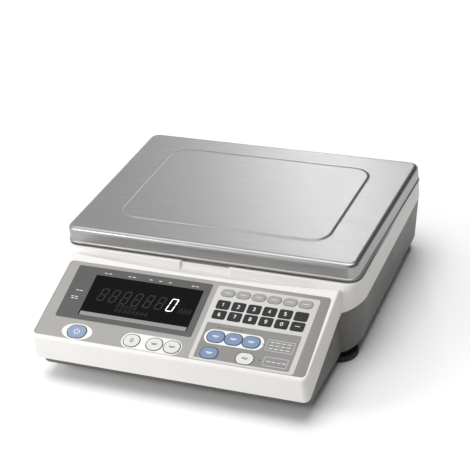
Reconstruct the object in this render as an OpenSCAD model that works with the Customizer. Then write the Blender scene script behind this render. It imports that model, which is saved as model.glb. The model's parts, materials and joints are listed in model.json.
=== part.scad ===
// Counting scale: a bench scale with a lift-off pan, a sloping console with separate key caps,
// a single-point load cell, and four screw-in levelling feet.
// Frame: millimetres, +Z up, front of the console towards -Y.
// Origin: centre of the footprint, on the surface that the feet stand on.

/* [Overall] */
// Height from the table to the top of the pan
total_h = 105; // [103:1:108]
// Distance of the pan's centre behind the origin
pan_y = 46; // [44:1:48]

/* [Pan] */
// Width of the pan
pan_w = 300; // [290:1:302]
// Depth of the pan
pan_d = 210; // [205:1:212]
// Height of the pan's skirt
pan_h = 18; // [16:1:18]
// Corner radius of the pan in plan
pan_r = 11; // [8:1:14]
// Thickness of the pan's sheet steel
sheet_t = 1.2; // [1:0.1:1.5]
// Width of the bead pressed into the pan's top
bead_w = 3.6; // [2:0.2:5]

/* [Housing] */
// Half width of the housing at its front corners
body_x = 152; // [151:0.5:154]
// Half width of the housing at the rear
tail_x = 146; // [144:0.5:150]
// Radius of the housing's front corners
front_r = 51; // [45:1:55]
// Radius of the housing's rear corners
rear_r = 18; // [12:1:24]
// Wall thickness of the plastic shells
wall = 2.5; // [2:0.1:3]
// Height of the seam between cover and base above the table
seam_z = 61; // [58:1:64]
// Height of the cover's rim above the table
rim_z = 85; // [84:0.5:85]
// Height of the base's underside above the table
floor_z = 13; // [13:0.5:15]

/* [Console] */
// Slope of the console in degrees
console_tilt = 19.65; // [18:0.05:22]
// Half width of the console's walls
console_x = 138; // [137:0.5:140]
// Width of the printed panel
panel_w = 270; // [266:1:271]
// Length of the printed panel up the slope
panel_l = 89.5; // [88:0.5:90]
// Thickness of the printed panel
panel_t = 0.8; // [0.6:0.1:1]

/* [Display] */
// Width of the display's dark frame
bezel_w = 139.5; // [130:0.5:142]
// Length of the display's dark frame up the slope
bezel_l = 62; // [58:0.5:64]
// Width of the display window
window_w = 111.5; // [100:0.5:114]
// Length of the display window up the slope
window_l = 48.3; // [44:0.1:50]

/* [Keys] */
// Distance between neighbouring keys of the grid
key_pitch = 15.25; // [15:0.05:15.5]
// How far a key cap stands above the printed panel
key_proud = 0.5; // [0.3:0.1:0.8]
// Travel of a key
key_travel = 0.5; // [0.3:0.1:0.5]
// Gap around a key cap in its opening
key_gap = 0.3; // [0.2:0.05:0.4]

/* [Feet] */
// Radius of a levelling foot's disc
foot_r = 17; // [15:0.5:18]
// Height of a levelling foot's disc
foot_h = 9; // [8:0.5:9]
// Radius of the threaded stud
stud_r = 4; // [3:0.5:4]
// Radial running clearance of the stud in its bore
stud_play = 0.05; // [0.02:0.01:0.1]

/* [Load cell] */
// Length of the load cell
cell_l = 150; // [130:1:150]
// Width of the load cell
cell_w = 30; // [25:1:40]
// Height of the load cell
cell_h = 38; // [34:1:40]

/* [Hidden] */
$fn = 64;
eps = 0.01;
far = 400;

// levels
pan_z = total_h - pan_h;
underside_z = total_h - sheet_t;
cell_z = 30;
cell_top = cell_z + cell_h;
plate_z = 19;
plate_t = 4;
base_t = 2.5;
arm_z = 92;
arm_t = 4;

// plan of the housing
front_cy = -39;
rear_y = 168;
front_y = -168;
lip_z = 25.5;
shoulder_y = -78;
base_inset = 0.5;

// the housing's front wall, the gutter before it and the finger recess in it
wall_y = -61;
ridge_y = -73;
gutter_z = 77.5;
notch_x = -1;
notch_y = -57.2;
notch_w = 52;
level_at = [-104, 159];
level_sink = 1.5;

// rear wall: middle of the power inlet and of the option bay, in X and Z
inlet_at = [-100, 32];
inlet_r = 5.5;
bay_at = [70, 38];
bay_size = [58, 22];

// the console's sloping plane: local x across, y up the slope, z out of the panel's face
panel_y = -165;
panel_z = 51.1;
rim_proud = 0.4;
opening_w = 248;
opening_l = 82.6;
opening_u = 1.2;
opening_mid = [0, opening_u + opening_l / 2];
guide_t = 3.2;
board_z = -11.6;
board_t = 1.6;

// display, in the console's plane
bezel_x = -52.25;
bezel_u = 23.4;
window_x = -44.5;
window_u = 28.4;

// keys, in the console's plane
grid_x = 35;
oval_u = 78.1;
row_u = [64.3, 52.8];
method_x = 40.5;
method_pitch = 17.25;
method_u = 28.4;
lower_u = 10;
round_u = 9.5;
power_x = -92.8;
oval_size = [13.6, 8.4];
square_size = [12.6, 9.8];
method_size = [16.4, 12];
round_size = [15.4, 13];
power_size = [18.6, 14];
cap_depth = 2;
stem_r = 1.5;
stem_play = 0.1;
stem_l = 3.5;

// feet
foot_front = [127, pan_y - 96];
foot_rear = [119, pan_y + 101];

function mirrored(p) = [-p[0], p[1]];

// colours of the keys
GREY = [0.55, 0.54, 0.53];
BLACK = [0.10, 0.10, 0.11];
BLUE = [0.43, 0.55, 0.71];
WHITE = [0.93, 0.93, 0.92];
PALE_BLUE = [0.78, 0.84, 0.90];

// each key: name, place on the console, size of its cap, corner radius, colour
function oval_key(i) = [
    str("function_key_", i + 1), [grid_x + i * key_pitch, oval_u], oval_size, oval_size[1] / 2 - 0.1, GREY
];
function block_name(row, i) =
    i < 5 ? str("number_key_", (row * 5 + i + 1) % 10) : row == 0 ? "point_key" : "clear_key";
function block_key(row, i) =
    [block_name(row, i), [grid_x + i * key_pitch, row_u[row]], square_size, 1.6, BLACK];
function method_key(i) =
    [str("method_key_", i + 1), [method_x + i * method_pitch, method_u], method_size, 5.8, BLUE];
function round_key(name, x) = [name, [x, round_u], round_size, 6.3, WHITE];
KEYS = concat(
    [for (i = [0 : 5]) oval_key(i)],
    [for (row = [0, 1], i = [0 : 5]) block_key(row, i)],
    [for (i = [0 : 2]) method_key(i)],
    [
        ["sample_key", [method_x, lower_u], method_size, 5.8, BLUE],
        ["enter_key", [method_x + 2 * method_pitch, lower_u], method_size, 5.8, WHITE],
        ["power_key", [power_x, round_u], power_size, 6.8, PALE_BLUE],
        round_key("zero_key", -36.3),
        round_key("gross_key", -13.5),
        round_key("tare_key", 4)
    ]
);
CORNERS = [
    ["front_left", mirrored(foot_front)],
    ["front_right", foot_front],
    ["rear_left", mirrored(foot_rear)],
    ["rear_right", foot_rear]
];
CASE_SCREWS = [[-130.5, -134], [130.5, -134], [-138, 30], [138, 30], [-25, 156], [25, 156]];

// ---- shared shapes ----

// a rectangle with round corners, centred
module rounded(size, r) {
    square([size[0] - 2 * r, size[1]], center = true);
    square([size[0], size[1] - 2 * r], center = true);
    for (x = [-1, 1], y = [-1, 1])
        translate([x * (size[0] / 2 - r), y * (size[1] / 2 - r)]) circle(r);
}

// the housing's plan, drawn in by d on every side
module body_plan(d) {
    slant = body_x - front_r;
    rear_x = tail_x - rear_r;
    difference() {
        union() {
            polygon([
                [-slant, front_cy - front_r + d], [slant, front_cy - front_r + d],
                [body_x - d, front_cy], [tail_x - d, rear_y - rear_r],
                [rear_x, rear_y - d], [-rear_x, rear_y - d],
                [-tail_x + d, rear_y - rear_r], [-body_x + d, front_cy]
            ]);
            for (side = [-1, 1]) {
                translate([side * slant, front_cy]) circle(front_r - d, $fn = 128);
                translate([side * rear_x, rear_y - rear_r]) circle(rear_r - d);
            }
        }
        translate([-far / 2, shoulder_y + d - far]) square([far, far]);
    }
}

// a profile drawn in Y and Z, as a prism centred on X
module across(width, points) {
    translate([-width / 2, 0, 0])
        rotate([90, 0, 90]) linear_extrude(width) polygon(points);
}

// places its children in the console's plane
module on_console() {
    translate([0, panel_y, panel_z]) rotate([console_tilt, 0, 0]) children();
}

// a plate in the console's plane, from height low to height high
module console_plate(centre, size, r, low, high) {
    translate([centre[0], centre[1], low]) linear_extrude(high - low) rounded(size, r);
}

// every key's outline, grown by gap, from height low to height high
module key_prisms(gap, low, high) {
    for (key = KEYS)
        console_plate(key[1], key[2] + [2 * gap, 2 * gap], key[3] + gap, low, high);
}

// height of the console's moulded surface at a given y
function slope_z(y) = panel_z + rim_proud / cos(console_tilt) + (y - panel_y) * tan(console_tilt);

// ---- weighing platform ----

module pan_outline(d) {
    rounded([pan_w - 2 * d, pan_d - 2 * d], pan_r - d);
}

module bead_ring(grow) {
    rounded([220 + 2 * grow, 150 + 2 * grow], 20 + grow);
}

// inverted steel tray with a pressed bead
module pan() {
    edge = 2;
    color("silver") translate([0, pan_y, pan_z]) difference() {
        union() {
            linear_extrude(pan_h - edge) pan_outline(0);
            linear_extrude(pan_h - edge / 3) pan_outline(edge / 3);
            linear_extrude(pan_h) pan_outline(edge);
        }
        translate([0, 0, -eps]) linear_extrude(pan_h - sheet_t + eps) pan_outline(sheet_t + edge / 3);
        translate([0, 1.8, pan_h - 0.5]) linear_extrude(1) difference() {
            bead_ring(0);
            bead_ring(-bead_w);
        }
    }
}

// where the four cushions stand
cushion_x = 112;
cushion_y = 72;

// where the two screws clamp the support to the cell's free end
riser_w = 40;
riser_d = 38;
riser_y = pan_y - cell_l / 2 + riser_d / 2;
clamp_y = [riser_y - 9, riser_y + 9];

module pan_support() {
    arm_l = 2 * sqrt(cushion_x * cushion_x + cushion_y * cushion_y) + 20;
    color("gainsboro") difference() {
        union() {
            for (side = [-1, 1])
                translate([0, pan_y, arm_z + arm_t / 2])
                    rotate([0, 0, side * atan(cushion_y / cushion_x)])
                        cube([arm_l, 26, arm_t], center = true);
            translate([0, pan_y, arm_z]) cylinder(r = 46, h = arm_t);
            for (side = [-1, 1])
                translate([side * cushion_x - 3, pan_y - cushion_y, arm_z - 3])
                    cube([6, 2 * cushion_y, arm_t + 3 - eps]);
            translate([-riser_w / 2, riser_y - riser_d / 2, cell_top])
                cube([riser_w, riser_d, arm_z + arm_t - cell_top]);
        }
        for (y = clamp_y)
            translate([0, y, 0]) {
                cylinder(r = 3.2, h = far);
                translate([0, 0, arm_z - 4]) cylinder(r = 5.6, h = far);
            }
    }
}

// four rubber buttons that the pan rests on
module pan_cushions() {
    color("dimgray") for (x = [-1, 1], y = [-1, 1])
        translate([x * cushion_x, pan_y + y * cushion_y, arm_z + arm_t]) {
            cylinder(r = 9, h = 4);
            cylinder(r = 6, h = underside_z - arm_z - arm_t);
        }
}

// two cap screws through the support into the cell
module support_screws() {
    color("dimgray") for (y = clamp_y)
        translate([0, y, 0]) {
            translate([0, 0, cell_top - 14]) cylinder(r = 3, h = arm_z - 4 - cell_top + 14);
            difference() {
                translate([0, 0, arm_z - 4]) cylinder(r = 5, h = 6);
                translate([0, 0, arm_z - 1]) cylinder(r = 2.9, h = 6, $fn = 6);
            }
        }
}

// single-point cell: fixed at the rear, bending at its double bore
module load_cell() {
    bore_y = 16;
    fixed_y = pan_y + cell_l / 2;
    color("lightsteelblue") difference() {
        translate([-cell_w / 2, pan_y - cell_l / 2, cell_z]) cube([cell_w, cell_l, cell_h]);
        for (y = [-bore_y, bore_y])
            translate([-cell_w, pan_y + y, cell_z + cell_h / 2]) rotate([0, 90, 0]) cylinder(r = 14, h = far);
        translate([-cell_w, pan_y - bore_y, cell_z + cell_h / 2 - 5]) cube([far, 2 * bore_y, 10]);
        for (y = clamp_y)
            translate([0, y, cell_top - 15]) cylinder(r = 3, h = far);
        for (y = [fixed_y - 28, fixed_y - 10])
            translate([0, y, 0]) cylinder(r = 3, h = cell_z + 15);
    }
}

// cast plate that carries the cell's fixed end and the overload stop
module cell_base_plate() {
    fixed_y = pan_y + cell_l / 2;
    color("gray") difference() {
        union() {
            translate([-52, pan_y - 80, plate_z]) cube([104, 162, plate_t]);
            translate([-22, fixed_y - 38, plate_z]) cube([44, 40, cell_z - plate_z]);
            for (x = [-44, 44], y = [-72, 74])
                translate([x, pan_y + y, floor_z + base_t]) cylinder(r = 6, h = plate_z - floor_z - base_t);
        }
        for (y = [fixed_y - 28, fixed_y - 10])
            translate([0, y, 0]) {
                cylinder(r = 3.3, h = far);
                cylinder(r = 5.6, h = plate_z + 4);
            }
        translate([0, riser_y, 0]) cylinder(r = 3, h = far);
    }
}

// two screws from below into the cell's fixed end
module cell_screws() {
    fixed_y = pan_y + cell_l / 2;
    color("dimgray") for (y = [fixed_y - 28, fixed_y - 10])
        translate([0, y, plate_z]) {
            cylinder(r = 5, h = 4);
            cylinder(r = 3, h = cell_z - plate_z + 14);
        }
}

// adjustable stop under the cell's free end, with its lock nut
module overload_stop() {
    gap = 0.7;
    color("dimgray") translate([0, riser_y, 0]) {
        translate([0, 0, plate_z]) cylinder(r = 3, h = cell_z - plate_z - gap);
        difference() {
            translate([0, 0, plate_z + plate_t]) cylinder(r = 5.5, h = 3.5, $fn = 6);
            cylinder(r = 3, h = far);
        }
    }
}

// ---- shells ----

// the console's outer block, with a blunted front edge
module console_block(width) {
    edge = 2.8;
    across(width, [
        [front_y, lip_z], [front_y, slope_z(front_y) - edge], [front_y + edge, slope_z(front_y + edge)],
        [ridge_y, slope_z(ridge_y)], [wall_y, gutter_z], [wall_y, seam_z], [shoulder_y, seam_z]
    ]);
}

// the room inside the console, under its slab and under the gutter
module console_room() {
    inner_y = front_y + wall;
    drop = wall / cos(console_tilt);
    across(2 * (console_x - wall), [
        [inner_y, 0], [inner_y, slope_z(inner_y) - drop], [-76, slope_z(-76) - drop],
        [-70, gutter_z - wall], [wall_y + wall, gutter_z - wall], [wall_y + wall, 0]
    ]);
}

// the housing's plan drawn in by d, its front leaning back from the shoulder to the front wall
module housing_block(d, low, high) {
    lean = d * 1.25;
    intersection() {
        translate([0, 0, low]) linear_extrude(high - low) body_plan(d);
        across(far, [
            [shoulder_y + d, 0], [shoulder_y + lean, seam_z], [wall_y + lean, rim_z],
            [rear_y, rim_z], [rear_y, 0]
        ]);
    }
}

// the space below the console, up to the cover's lower edge
module bottom_wedge() {
    across(far, [
        [front_y - 5, 0], [front_y - 5, lip_z], [front_y, lip_z], [shoulder_y, seam_z], [shoulder_y, 0]
    ]);
}

// gutter between the console's ridge and the housing's front wall
module gutter() {
    gutter_w = 262;
    across(gutter_w, [
        [ridge_y - 1, rim_z + 2.5], [ridge_y - 0.4, rim_z - 1.6], [wall_y - 2.6, gutter_z],
        [wall_y, rim_z], [wall_y, rim_z + 5]
    ]);
}

// finger recess in the housing's front wall, for lifting the pan
module finger_notch() {
    notch_r = 73;
    notch_h = 20;
    intersection() {
        translate([notch_x, notch_y - notch_r, gutter_z]) cylinder(r = notch_r, h = notch_h, $fn = 128);
        translate([notch_x - notch_w / 2, wall_y - 6, gutter_z]) cube([notch_w, 12, notch_h]);
    }
}

// post for a case screw
module screw_post(p, low, high) {
    translate([p[0], p[1], low]) cylinder(r = 4.5, h = high - low);
}

// height of the cover's lower edge at a screw post
function post_z(p) = p[1] < shoulder_y ? 43 : seam_z - 6;

module upper_cover() {
    color("whitesmoke") difference() {
        union() {
            difference() {
                union() {
                    housing_block(0, seam_z, rim_z);
                    difference() {
                        console_block(2 * console_x);
                        bottom_wedge();
                    }
                }
                console_room();
                housing_block(wall, 0, rim_z - wall);
            }
            // thicker wall behind the finger recess
            translate([notch_x - notch_w / 2 - 2, notch_y - 2, gutter_z - wall])
                cube([notch_w + 4, wall + 2, rim_z - gutter_z + wall]);
            intersection() {
                for (p = CASE_SCREWS) screw_post(p, post_z(p), rim_z - 1);
                union() {
                    housing_block(wall - 0.5, 0, rim_z - 1);
                    console_block(2 * console_x - 1);
                }
            }
        }
        gutter();
        finger_notch();
        on_console() {
            translate([0, 0, -panel_t]) linear_extrude(far) panel_outline(0);
            console_plate(opening_mid, [opening_w, opening_l], 3, -far / 8, far / 8);
        }
        // opening for the riser of the pan support
        translate([0, riser_y, cell_top]) linear_extrude(far) rounded([riser_w + 8, riser_d + 8], 4);
        // pocket for the level
        translate([level_at[0], level_at[1], rim_z - level_sink]) cylinder(r = 6.5, h = far);
        for (p = CASE_SCREWS) translate([p[0], p[1], 0]) cylinder(r = 1.6, h = post_z(p) + 10);
    }
}

module lower_base() {
    rear_wall_y = rear_y - base_inset;
    color([0.33, 0.32, 0.31]) difference() {
        union() {
            difference() {
                union() {
                    translate([0, 0, floor_z]) linear_extrude(seam_z - floor_z) body_plan(base_inset);
                    base_front(0);
                }
                translate([0, 0, floor_z + base_t]) linear_extrude(far) body_plan(base_inset + wall);
                base_front(wall);
            }
            for (corner = CORNERS)
                translate([corner[1][0], corner[1][1], floor_z]) cylinder(r = 9, h = 27);
            for (p = CASE_SCREWS) screw_post(p, floor_z, post_z(p));
            for (p = [[-126, 0], [-72, 0], [-126, 104], [-72, 104]])
                translate([p[0], p[1], floor_z]) cylinder(r = 3, h = 11);
        }
        for (corner = CORNERS)
            translate([corner[1][0], corner[1][1], 0]) cylinder(r = stud_r + stud_play, h = far);
        for (p = CASE_SCREWS)
            translate([p[0], p[1], 0]) {
                cylinder(r = 1.7, h = far);
                cylinder(r = 3.4, h = floor_z + 6);
            }
        // openings in the rear wall
        translate([inlet_at[0], rear_wall_y + 1, inlet_at[1]])
            rotate([90, 0, 0]) cylinder(r = inlet_r + 0.1, h = 6);
        bay(0, 1);
        bay(4, 10);
    }
}

// the option bay's opening in the rear wall, drawn in by d and sunk by depth
module bay(d, depth) {
    translate([bay_at[0] - bay_size[0] / 2 + d, rear_y - base_inset - depth, bay_at[1] - bay_size[1] / 2 + d])
        cube([bay_size[0] - 2 * d, far, bay_size[1] - 2 * d]);
}

// the base's part under the console
module base_front(d) {
    base_x = 134.5;
    lip = 3;
    low = floor_z + (d > 0 ? base_t : 0);
    across(2 * (base_x - d), [
        [front_y + 5 + d, low], [front_y + 5 + d, lip_z + lip + 1 + d],
        [shoulder_y + 2, seam_z + lip / 5 + d], [shoulder_y + 2 + d, seam_z + d], [shoulder_y + 2 + d, low]
    ]);
}

// six screws from below into the cover's posts
module case_screws() {
    color("dimgray") for (p = CASE_SCREWS)
        translate([p[0], p[1], floor_z + 6]) {
            translate([0, 0, -2.5]) cylinder(r = 3.1, h = 2.5);
            cylinder(r = 1.5, h = post_z(p) - floor_z + 2);
        }
}

// ---- console ----

// the printed panel's outline, a little narrower at the rear
module panel_outline(d) {
    r = 4;
    taper = 1.9;
    half = panel_w / 2 - d;
    polygon([
        [-half + r, d], [half - r, d], [half, d + r], [half - taper, panel_l - d - r],
        [half - taper - r, panel_l - d], [-half + taper + r, panel_l - d],
        [-half + taper, panel_l - d - r], [-half, d + r]
    ]);
    for (side = [-1, 1]) {
        translate([side * (half - r), d + r]) circle(r);
        translate([side * (half - taper - r), panel_l - d - r]) circle(r);
    }
}

bezel_mid = [bezel_x, bezel_u + bezel_l / 2];
window_mid = [window_x, window_u + window_l / 2];

module keypad_overlay() {
    color([0.70, 0.69, 0.67]) on_console() difference() {
        translate([0, 0, -panel_t]) linear_extrude(panel_t) panel_outline(0.15);
        console_plate(bezel_mid, [bezel_w, bezel_l], 2, -1, 1);
        key_prisms(key_gap, -1, 1);
    }
}

module display_bezel() {
    color([0.36, 0.36, 0.36]) on_console() difference() {
        console_plate(bezel_mid, [bezel_w, bezel_l], 2, -panel_t, 0.3);
        console_plate(window_mid, [window_w, window_l], 1, -1, 1);
    }
}

module display_window() {
    color([0.08, 0.08, 0.09]) on_console()
        console_plate(window_mid, [window_w, window_l], 1, -2, 0.1);
}

// flat fluorescent tube behind the window
module display_module() {
    color([0.12, 0.14, 0.14]) on_console() {
        console_plate(window_mid, [window_w - 6, window_l - 6], 1, -10, -4.4);
        for (x = [-24 : 4 : 24])
            translate([window_mid[0] + 2 * x, window_u + 5, -12]) cylinder(r = 0.4, h = 2);
    }
}

module display_board() {
    color("darkgreen") on_console() {
        console_plate(window_mid, [window_w, window_l + 4], 1, -13.6, -12);
        for (i = [0 : 4])
            translate([window_x - 40 + i * 18, window_mid[1] - 4, -15.4]) cube([9, 8, 1.8]);
    }
}

// plate under the printed panel: a pocket for each cap and a bore for each stem
module key_guide_plate() {
    under = -panel_t - guide_t;
    pocket = -cap_depth - key_travel - 0.1;
    color([0.2, 0.2, 0.2]) on_console() difference() {
        union() {
            console_plate(opening_mid, [opening_w - 0.6, opening_l - 0.6], 3, under, -panel_t);
            console_plate(opening_mid, [opening_w + 3, opening_l + 3], 3, under, rim_proud - wall - 0.05);
        }
        key_prisms(key_gap, pocket, 1);
        console_plate(window_mid, [window_w, window_l], 1, -2, 1);
        console_plate(window_mid, [window_w - 5, window_l - 5], 1, -9, 1);
        for (key = KEYS) translate([key[1][0], key[1][1], -9]) cylinder(r = stem_r + stem_play, h = 20);
    }
}

// a key: cap, and a stem that presses its switch
module key_cap(key) {
    console_plate(key[1], key[2], key[3], -cap_depth, key_proud);
    translate([key[1][0], key[1][1], -cap_depth - stem_l]) cylinder(r = stem_r, h = stem_l + 1);
}

// circuit board under the keys, cut out around the display
module key_board() {
    color("darkgreen") on_console() difference() {
        console_plate(opening_mid, [opening_w - 4, opening_l - 2], 3, board_z, board_z + board_t);
        console_plate([window_mid[0], window_mid[1] + 3], [window_w + 4, window_l + 8], 2, board_z - 1, 0);
    }
}

// one push switch under each key
module tact_switches() {
    low = board_z + board_t;
    high = -cap_depth - stem_l - key_travel - 0.1;
    color("black") on_console() for (key = KEYS)
        translate([key[1][0], key[1][1], low]) {
            translate([-3, -3, 0]) cube([6, 6, high - low - 0.6]);
            cylinder(r = 1.7, h = high - low);
        }
}

// ---- electronics in the base ----

module main_board() {
    color("darkgreen") {
        translate([-132, -8, 24]) cube([66, 120, 1.6]);
        for (i = [0 : 3]) translate([-122, 4 + i * 24, 25.6]) cube([18, 14, 2.4]);
        translate([-96, 70, 25.6]) cube([24, 30, 15]);
        for (i = [0 : 2]) translate([-84, 8 + i * 20, 25.6]) cylinder(r = 6, h = 16);
    }
}

// ribbon to the console and round lead to the cell
module internal_cables() {
    color("lightgray") translate([-90, 0, 0])
        across(16, [
            [-6, 25.6], [-6, 45], [-91.5, 45], [-91.5, 62.3], [-92.5, 62.3], [-92.5, 44], [-7, 44], [-7, 25.6]
        ]);
    color("dimgray") translate([-72, 94, cell_z + 8]) rotate([0, 90, 0]) cylinder(r = 2, h = 72 - cell_w / 2);
}

// power inlet: body inside the wall, round nose through it
module dc_jack() {
    nose_y = rear_y - base_inset;
    color("black") difference() {
        union() {
            translate([inlet_at[0] - 7, nose_y - wall - 13, inlet_at[1] - 7]) cube([14, 13, 12]);
            translate([inlet_at[0], nose_y, inlet_at[1]]) rotate([90, 0, 0]) cylinder(r = inlet_r, h = 6);
        }
        translate([inlet_at[0], nose_y + 1, inlet_at[1]]) rotate([90, 0, 0]) difference() {
            cylinder(r = 3.1, h = 10);
            cylinder(r = 1, h = 12);
        }
    }
}

// blank plate over the bay for a serial port
module option_cover() {
    plate_y = rear_y - base_inset - 1;
    play = 0.2;
    color([0.30, 0.29, 0.28])
        translate([bay_at[0] - bay_size[0] / 2 + play, plate_y, bay_at[1] - bay_size[1] / 2 + play])
            cube([bay_size[0] - 2 * play, 1, bay_size[1] - 2 * play]);
}

// ---- bubble level ----

module level_housing() {
    color("black") translate([level_at[0], level_at[1], rim_z - level_sink]) difference() {
        cylinder(r = 6.3, h = 4);
        translate([0, 0, 1]) cylinder(r = 5.05, h = 6);
    }
}

module level_vial() {
    color("yellowgreen")
        translate([level_at[0], level_at[1], rim_z - level_sink + 1]) cylinder(r = 5, h = 3.2);
}

// ---- levelling feet ----

module foot_disc(p) {
    color([0.08, 0.08, 0.08]) translate([p[0], p[1], 0]) difference() {
        union() {
            cylinder(r = foot_r - 1.5, h = 1.5);
            translate([0, 0, 1]) cylinder(r = foot_r, h = foot_h - 3);
            cylinder(r = foot_r - 6, h = foot_h);
        }
        translate([0, 0, 3]) cylinder(r = stud_r + stud_play, h = foot_h);
    }
}

module foot_stud(p) {
    color("silver") translate([p[0], p[1], 3]) cylinder(r = stud_r, h = 33);
}

// ---- assembly ----

pan();
pan_support();
pan_cushions();
support_screws();
load_cell();
cell_base_plate();
cell_screws();
overload_stop();
upper_cover();
lower_base();
case_screws();
keypad_overlay();
display_bezel();
display_window();
display_module();
display_board();
key_guide_plate();
key_board();
tact_switches();
main_board();
internal_cables();
dc_jack();
option_cover();
level_housing();
level_vial();
for (key = KEYS)
    color(key[4]) on_console() key_cap(key);
for (corner = CORNERS) {
    foot_disc(corner[1]);
    foot_stud(corner[1]);
}
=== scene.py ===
"""Looks of a counting scale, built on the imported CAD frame. Lengths in mm unless a name says otherwise."""

import json
import math

import bmesh
import bpy
from mathutils import Matrix, Vector
from mathutils.geometry import delaunay_2d_cdt


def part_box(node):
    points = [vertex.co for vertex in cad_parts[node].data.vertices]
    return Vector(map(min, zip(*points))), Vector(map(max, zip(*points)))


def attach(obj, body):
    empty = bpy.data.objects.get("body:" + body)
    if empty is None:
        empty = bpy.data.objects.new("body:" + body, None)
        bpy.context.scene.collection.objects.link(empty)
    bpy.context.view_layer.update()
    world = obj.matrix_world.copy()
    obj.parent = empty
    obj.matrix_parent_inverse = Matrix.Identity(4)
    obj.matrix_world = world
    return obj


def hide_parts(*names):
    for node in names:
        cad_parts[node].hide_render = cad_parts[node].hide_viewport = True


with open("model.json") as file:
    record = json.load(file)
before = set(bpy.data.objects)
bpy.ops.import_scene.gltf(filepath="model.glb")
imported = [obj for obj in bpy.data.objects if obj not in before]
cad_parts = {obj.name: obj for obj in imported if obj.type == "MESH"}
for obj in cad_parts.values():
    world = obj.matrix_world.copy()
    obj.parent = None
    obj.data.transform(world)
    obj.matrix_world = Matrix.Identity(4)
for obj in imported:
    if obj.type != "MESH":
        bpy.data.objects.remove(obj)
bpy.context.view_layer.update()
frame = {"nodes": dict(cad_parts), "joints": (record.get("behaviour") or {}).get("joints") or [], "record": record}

MM = 0.001
scene = bpy.context.scene
nodes = frame["nodes"]
record = frame["record"]


def box_mm(node):
    """Lowest and highest corner of a CAD node, in mm."""
    low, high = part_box(node)
    return low / MM, high / MM


# ---- the console's plane: x across, u up the slope, h out of the panel's face ----

press = next(j for j in frame["joints"] if j["name"] == "power_key_press")["axis"]
TILT = math.atan2(press[1], -press[2])
COS, SIN = math.cos(TILT), math.sin(TILT)
PANEL_L = 89.5
PANEL_INSET = 0.15
KEY_PROUD = 0.5
_low, _high = box_mm("keypad_overlay")
PANEL_Y = _low.y - PANEL_INSET * COS
PANEL_Z = _high.z - (PANEL_L - PANEL_INSET) * SIN
RIM_PROUD = 0.4


def on_panel(x, u, h=0.0):
    """A point of the console's plane in the row frame, in mm."""
    return Vector((x, PANEL_Y + u * COS - h * SIN, PANEL_Z + u * SIN + h * COS))


def panel_rect(node, proud):
    """x and u limits of a CAD plate that lies in the console's plane with its top at height proud."""
    low, high = box_mm(node)
    return low.x, high.x, (low.y - PANEL_Y + proud * SIN) / COS, (high.z - PANEL_Z - proud * COS) / SIN


def deck_z(y):
    """Height of the cover's sloping deck at a given y."""
    return PANEL_Z + RIM_PROUD / COS + (y - PANEL_Y) * math.tan(TILT)


# ---- mesh tools ----

def arc(cx, cy, r, start, end, count):
    """Points of an arc, angles in degrees, both ends included."""
    angles = [math.radians(start + (end - start) * i / count) for i in range(count + 1)]
    return [(cx + r * math.cos(a), cy + r * math.sin(a)) for a in angles]


def round_rect(cx, cy, w, h, r, count=8, side=1):
    """A rectangle with round corners, anticlockwise, each straight side cut into side pieces."""
    x, y = w / 2 - r, h / 2 - r
    corners = [arc(cx + sx * x, cy + sy * y, r, a, a + 90, count)
               for sx, sy, a in ((1, 1, 0), (-1, 1, 90), (-1, -1, 180), (1, -1, 270))]
    points = []
    for i, corner in enumerate(corners):
        after = corners[(i + 1) % 4][0]
        points += corner
        for k in range(1, side):
            t = k / side
            points.append((corner[-1][0] * (1 - t) + after[0] * t, corner[-1][1] * (1 - t) + after[1] * t))
    return points


def ellipse(cx, cy, w, h, count=48):
    return [(cx + w / 2 * math.cos(2 * math.pi * i / count), cy + h / 2 * math.sin(2 * math.pi * i / count))
            for i in range(count)]


def level(points, z):
    return [Vector((x, y, z)) for x, y in points]


def loft(rings, ends=True, around=False):
    """Faces between rings of equal length. ends closes the first and last ring, around joins them instead."""
    n = len(rings[0])
    verts = [p for ring in rings for p in ring]
    faces = []
    for k in range(len(rings) if around else len(rings) - 1):
        a, b = k * n, (k + 1) % len(rings) * n
        faces += [(a + i, a + (i + 1) % n, b + (i + 1) % n, b + i) for i in range(n)]
    if ends and not around:
        faces.append(tuple(reversed(range(n))))
        faces.append(tuple(range((len(rings) - 1) * n, len(rings) * n)))
    return verts, faces


def lathe(profile, centre, count=64):
    """A closed profile of (radius, z) turned about a vertical axis."""
    rings = [[Vector((centre[0] + r * math.cos(a), centre[1] + r * math.sin(a), z))
              for a in (2 * math.pi * i / count for i in range(count))] for r, z in profile]
    return loft(rings)


def raw(name, verts, faces):
    """A mesh object in metres with outward normals, not yet a finished piece."""
    mesh = bpy.data.meshes.new(name)
    mesh.from_pydata([Vector(v) * MM for v in verts], [], faces)
    bm = bmesh.new()
    bm.from_mesh(mesh)
    bmesh.ops.remove_doubles(bm, verts=bm.verts, dist=1e-7)
    bmesh.ops.recalc_face_normals(bm, faces=bm.faces)
    bm.to_mesh(mesh)
    bm.free()
    obj = bpy.data.objects.new(name, mesh)
    scene.collection.objects.link(obj)
    return obj


def settle(obj):
    """Applies an object's modifiers."""
    made = bpy.data.meshes.new_from_object(obj.evaluated_get(bpy.context.evaluated_depsgraph_get()))
    obj.modifiers.clear()
    obj.data = made
    return obj


def combine(obj, other, operation):
    """Boolean of two closed meshes; the other one is used up."""
    step = obj.modifiers.new("cut", "BOOLEAN")
    step.operation, step.object, step.solver = operation, other, "EXACT"
    bpy.context.view_layer.update()
    settle(obj)
    bpy.data.objects.remove(other)
    return obj


def join(name, parts):
    """One object from several, keeping their materials."""
    bpy.context.view_layer.update()
    with bpy.context.temp_override(active_object=parts[0], selected_editable_objects=parts,
                                   selected_objects=parts, object=parts[0]):
        bpy.ops.object.join()
    parts[0].name = name
    return parts[0]


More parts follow.
